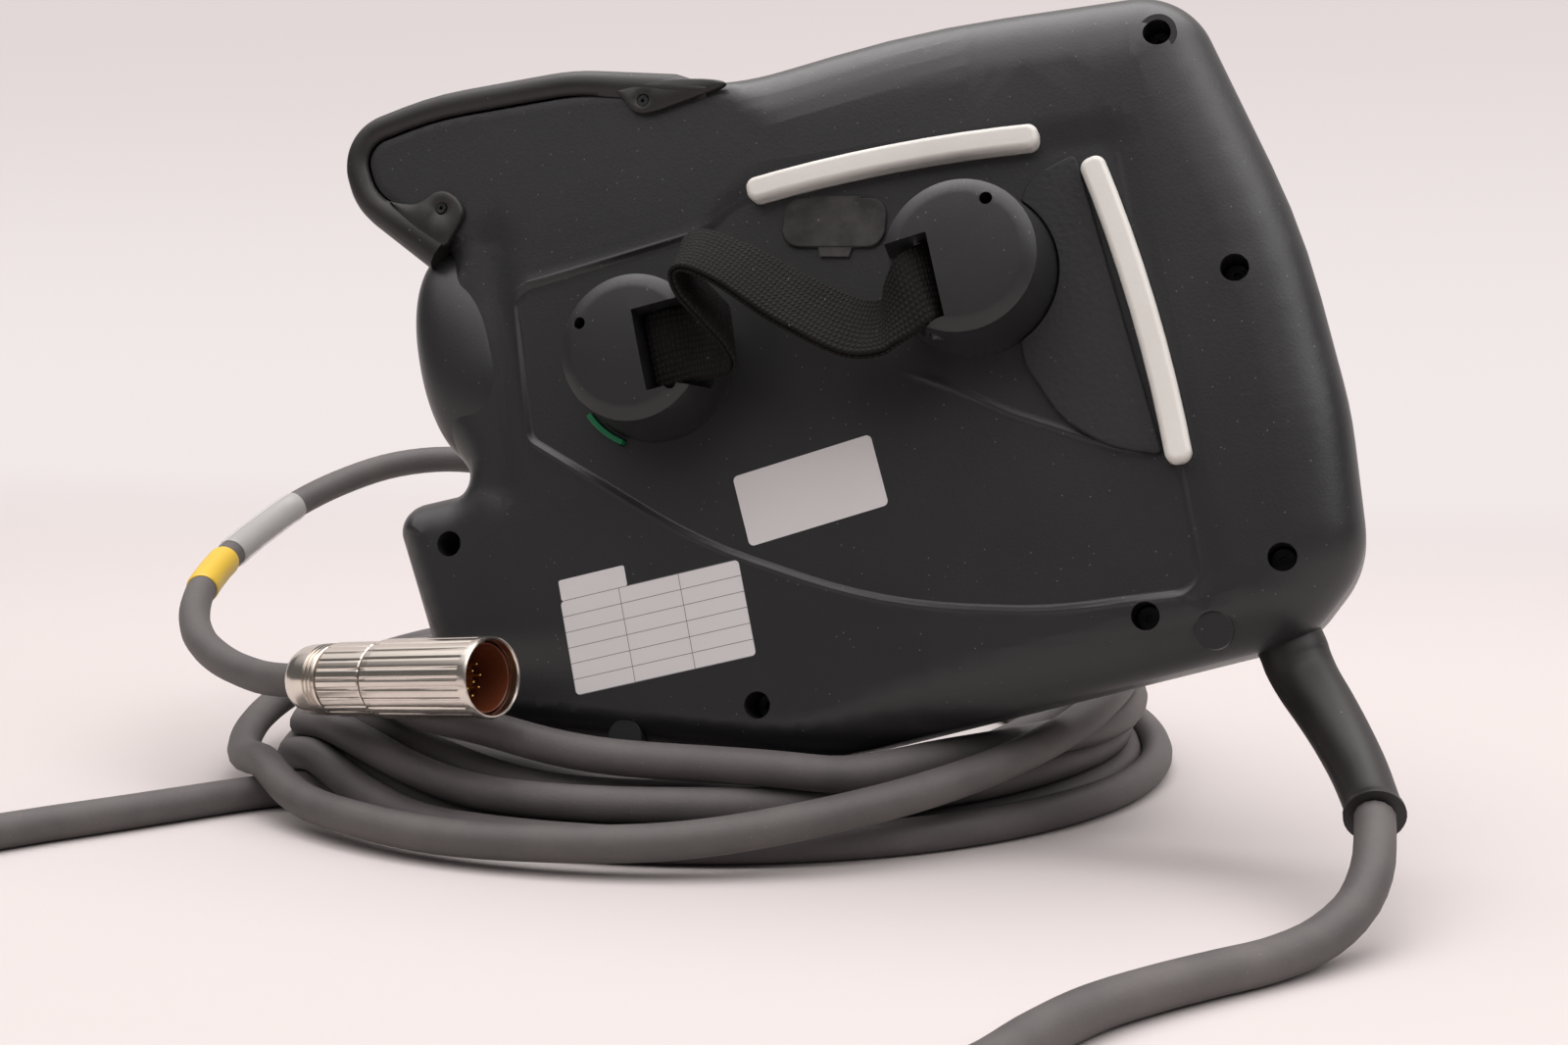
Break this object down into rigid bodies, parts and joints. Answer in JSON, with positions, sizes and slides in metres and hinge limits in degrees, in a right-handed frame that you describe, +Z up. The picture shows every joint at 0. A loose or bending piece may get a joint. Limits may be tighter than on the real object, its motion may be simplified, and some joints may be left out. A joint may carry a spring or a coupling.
{
  "type": "teach pendant",
  "caption": "Hand-held control panel for an industrial robot, standing on its coiled cable, with strap, enabling bars, stop button, display and keys.",
  "frame": {"origin": "middle of the panel's bounding box, cable and plug left out", "axes": "+Z up, +X to the right as seen from the back, -Y towards the viewer of the back; the panel is rolled and leans on its coil as it stands on a floor"},
  "size_m": [0.4912, 0.5909, 0.2764],
  "materials": {
    "shell": "fine-grained satin anthracite",
    "seal": "matt black",
    "black_steel": "blackened steel",
    "dome": "fine-grained satin grey",
    "pin_steel": "turned steel",
    "webbing": "woven band",
    "cover_rubber": "soft matt rubber",
    "grip_pad": "matt soft-touch",
    "black_plastic": "matt black",
    "ivory": "warm off-white",
    "green": "green",
    "yellow": "signal yellow",
    "red": "signal red",
    "key_steel": "bright",
    "green_lens": "green lens",
    "white_lens": "clear white",
    "bronze": "turned bronze",
    "mouse": "dark grey",
    "window": "dark glossy window",
    "tin": "plain sheet",
    "board": "solder mask green",
    "key_grey": "light grey",
    "key_light": "pale grey",
    "cable": "warm mid-grey jacket",
    "marker": "yellow band and clear sleeve",
    "nickel": "bright nickel",
    "insert": "red-brown insert"
  },
  "bodies": {
    "housing": {"rear_shell": "shell", "front_shell": "shell", "housing_gasket": "seal", "housing_screws": "black_steel", "small_screws": "black_steel", "hole_plugs": "shell", "grip_dome_left": "dome", "grip_dome_right": "dome", "strap_pins": "pin_steel", "hand_strap": "webbing", "service_socket": "black_plastic", "grip_pad": "grip_pad", "ear_bumper_rear": "cover_rubber", "ear_bumper_front": "cover_rubber", "enable_switches": "black_plastic", "estop_collar": "yellow", "estop_block": "black_plastic", "switch_bezels": "pin_steel", "switch_blocks": "black_plastic", "mouse_base": "black_plastic", "display_window": "window", "display_module": "tin", "main_board": "board", "key_boards": "board", "cable_boot": "cover_rubber", "cable_gland": "black_plastic", "cable_coil": "cable", "cable_lead": "cable", "cable_tail": "cable", "cable_markers": "marker", "plug_nut": "nickel", "plug_body": "nickel", "plug_insert": "insert"},
    "connector_cover": {"connector_cover": "cover_rubber"},
    "enable_bar_top": {"enable_bar_top": "ivory"},
    "enable_bar_side": {"enable_bar_side": "ivory"},
    "rear_start_key": {"rear_start_key": "green"},
    "estop_stem": {"estop_stem": "pin_steel"},
    "estop_mushroom": {"estop_mushroom": "red"},
    "mode_barrel": {"mode_barrel": "pin_steel"},
    "mode_key": {"mode_key": "key_steel"},
    "drives_on_button": {"drives_on_button": "green_lens"},
    "drives_off_button": {"drives_off_button": "white_lens"},
    "mouse_plate": {"mouse_plate": "pin_steel"},
    "mouse_ring": {"mouse_ring": "bronze"},
    "mouse_cap": {"mouse_cap": "mouse"},
    "menu_keys": {"menu_keys": "key_grey"},
    "soft_keys": {"soft_keys": "key_grey"},
    "status_keys_left": {"status_keys_left": "key_grey"},
    "status_keys_right": {"status_keys_right": "key_grey"},
    "stop_key": {"stop_key": "red"},
    "start_key": {"start_key": "green"},
    "backward_key": {"backward_key": "green"},
    "escape_key": {"escape_key": "key_grey"},
    "window_key": {"window_key": "key_grey"},
    "arrow_keys": {"arrow_keys": "key_grey"},
    "enter_key": {"enter_key": "key_grey"},
    "letter_keys": {"letter_keys": "key_light"},
    "number_keys": {"number_keys": "key_light"},
    "plug_ring": {"plug_ring": "nickel"}
  },
  "joints": [
    {"name": "cover_open", "type": "hinge", "parent": "housing", "child": "connector_cover", "pos_m": [0.00179, -0.01335, 0.06583], "axis": [-0.9999, 0.0025, 0.012], "range_deg": [0, 90]},
    {"name": "enable_top_press", "type": "slide", "parent": "housing", "child": "enable_bar_top", "axis": [0, 0.9781, -0.2079], "range_m": [0, 0.003], "stiffness_N_per_m": 2500, "springref_m": -0.0015},
    {"name": "enable_side_press", "type": "slide", "parent": "housing", "child": "enable_bar_side", "axis": [0, 0.9781, -0.2079], "range_m": [0, 0.003], "stiffness_N_per_m": 2500, "springref_m": -0.0015},
    {"name": "rear_start_press", "type": "slide", "parent": "housing", "child": "rear_start_key", "axis": [0, 0.9781, -0.2079], "range_m": [0, 0.0015], "stiffness_N_per_m": 1200, "springref_m": -0.0005},
    {"name": "estop_push", "type": "slide", "parent": "housing", "child": "estop_stem", "axis": [0, -0.9781, 0.2079], "range_m": [0, 0.004], "stiffness_N_per_m": 3000, "springref_m": -0.001},
    {"name": "estop_twist", "type": "hinge", "parent": "estop_stem", "child": "estop_mushroom", "pos_m": [-0.138, 0.04535, 0.06495], "axis": [0, 0.9781, -0.2079], "range_deg": [-30, 30], "stiffness_Nm_per_rad": 0.4},
    {"name": "mode_turn", "type": "hinge", "parent": "housing", "child": "mode_barrel", "pos_m": [-0.05977, 0.03678, 0.07275], "axis": [0, 0.9781, -0.2079], "range_deg": [-45, 45]},
    {"name": "mode_key_pull", "type": "slide", "parent": "mode_barrel", "child": "mode_key", "axis": [0, 0.9781, -0.2079], "range_m": [0, 0.016]},
    {"name": "drives_on_press", "type": "slide", "parent": "housing", "child": "drives_on_button", "axis": [0, -0.9781, 0.2079], "range_m": [0, 0.003], "stiffness_N_per_m": 1500, "springref_m": -0.0008},
    {"name": "drives_off_press", "type": "slide", "parent": "housing", "child": "drives_off_button", "axis": [0, -0.9781, 0.2079], "range_m": [0, 0.003], "stiffness_N_per_m": 1500, "springref_m": -0.0008},
    {"name": "mouse_push", "type": "slide", "parent": "housing", "child": "mouse_plate", "axis": [0, -0.9781, 0.2079], "range_m": [-0.0008, 0.0008], "stiffness_N_per_m": 6000},
    {"name": "mouse_tilt_u", "type": "hinge", "parent": "mouse_plate", "child": "mouse_ring", "pos_m": [-0.10629, 0.01565, 0.007], "axis": [0.9646, 0.0549, 0.2581], "range_deg": [-8, 8], "stiffness_Nm_per_rad": 1.5},
    {"name": "mouse_tilt_v", "type": "hinge", "parent": "mouse_ring", "child": "mouse_cap", "pos_m": [-0.10629, 0.01565, 0.007], "axis": [-0.2639, 0.2005, 0.9435], "range_deg": [-8, 8], "stiffness_Nm_per_rad": 1.5},
    {"name": "menu_keys_press", "type": "slide", "parent": "housing", "child": "menu_keys", "axis": [0, -0.9781, 0.2079], "range_m": [0, 0.0008], "stiffness_N_per_m": 2000, "springref_m": -0.0004},
    {"name": "soft_keys_press", "type": "slide", "parent": "housing", "child": "soft_keys", "axis": [0, -0.9781, 0.2079], "range_m": [0, 0.0008], "stiffness_N_per_m": 2000, "springref_m": -0.0004},
    {"name": "status_keys_left_press", "type": "slide", "parent": "housing", "child": "status_keys_left", "axis": [0, -0.9781, 0.2079], "range_m": [0, 0.0008], "stiffness_N_per_m": 2000, "springref_m": -0.0004},
    {"name": "status_keys_right_press", "type": "slide", "parent": "housing", "child": "status_keys_right", "axis": [0, -0.9781, 0.2079], "range_m": [0, 0.0008], "stiffness_N_per_m": 2000, "springref_m": -0.0004},
    {"name": "letter_keys_press", "type": "slide", "parent": "housing", "child": "letter_keys", "axis": [0, -0.9781, 0.2079], "range_m": [0, 0.0008], "stiffness_N_per_m": 2000, "springref_m": -0.0004},
    {"name": "number_keys_press", "type": "slide", "parent": "housing", "child": "number_keys", "axis": [0, -0.9781, 0.2079], "range_m": [0, 0.0008], "stiffness_N_per_m": 2000, "springref_m": -0.0004},
    {"name": "arrow_keys_press", "type": "slide", "parent": "housing", "child": "arrow_keys", "axis": [0, -0.9781, 0.2079], "range_m": [0, 0.0008], "stiffness_N_per_m": 2000, "springref_m": -0.0004},
    {"name": "stop_key_press", "type": "slide", "parent": "housing", "child": "stop_key", "axis": [0, -0.9781, 0.2079], "range_m": [0, 0.0008], "stiffness_N_per_m": 2000, "springref_m": -0.0004},
    {"name": "start_key_press", "type": "slide", "parent": "housing", "child": "start_key", "axis": [0, -0.9781, 0.2079], "range_m": [0, 0.0008], "stiffness_N_per_m": 2000, "springref_m": -0.0004},
    {"name": "backward_key_press", "type": "slide", "parent": "housing", "child": "backward_key", "axis": [0, -0.9781, 0.2079], "range_m": [0, 0.0008], "stiffness_N_per_m": 2000, "springref_m": -0.0004},
    {"name": "escape_key_press", "type": "slide", "parent": "housing", "child": "escape_key", "axis": [0, -0.9781, 0.2079], "range_m": [0, 0.0008], "stiffness_N_per_m": 2000, "springref_m": -0.0004},
    {"name": "window_key_press", "type": "slide", "parent": "housing", "child": "window_key", "axis": [0, -0.9781, 0.2079], "range_m": [0, 0.0008], "stiffness_N_per_m": 2000, "springref_m": -0.0004},
    {"name": "enter_key_press", "type": "slide", "parent": "housing", "child": "enter_key", "axis": [0, -0.9781, 0.2079], "range_m": [0, 0.0008], "stiffness_N_per_m": 2000, "springref_m": -0.0004},
    {"name": "coupling_turn", "type": "hinge", "parent": "housing", "child": "plug_ring", "pos_m": [-0.10755, -0.08168, -0.09225], "axis": [0.9513, -0.2888, 0.1076], "continuous": true}
  ]
}
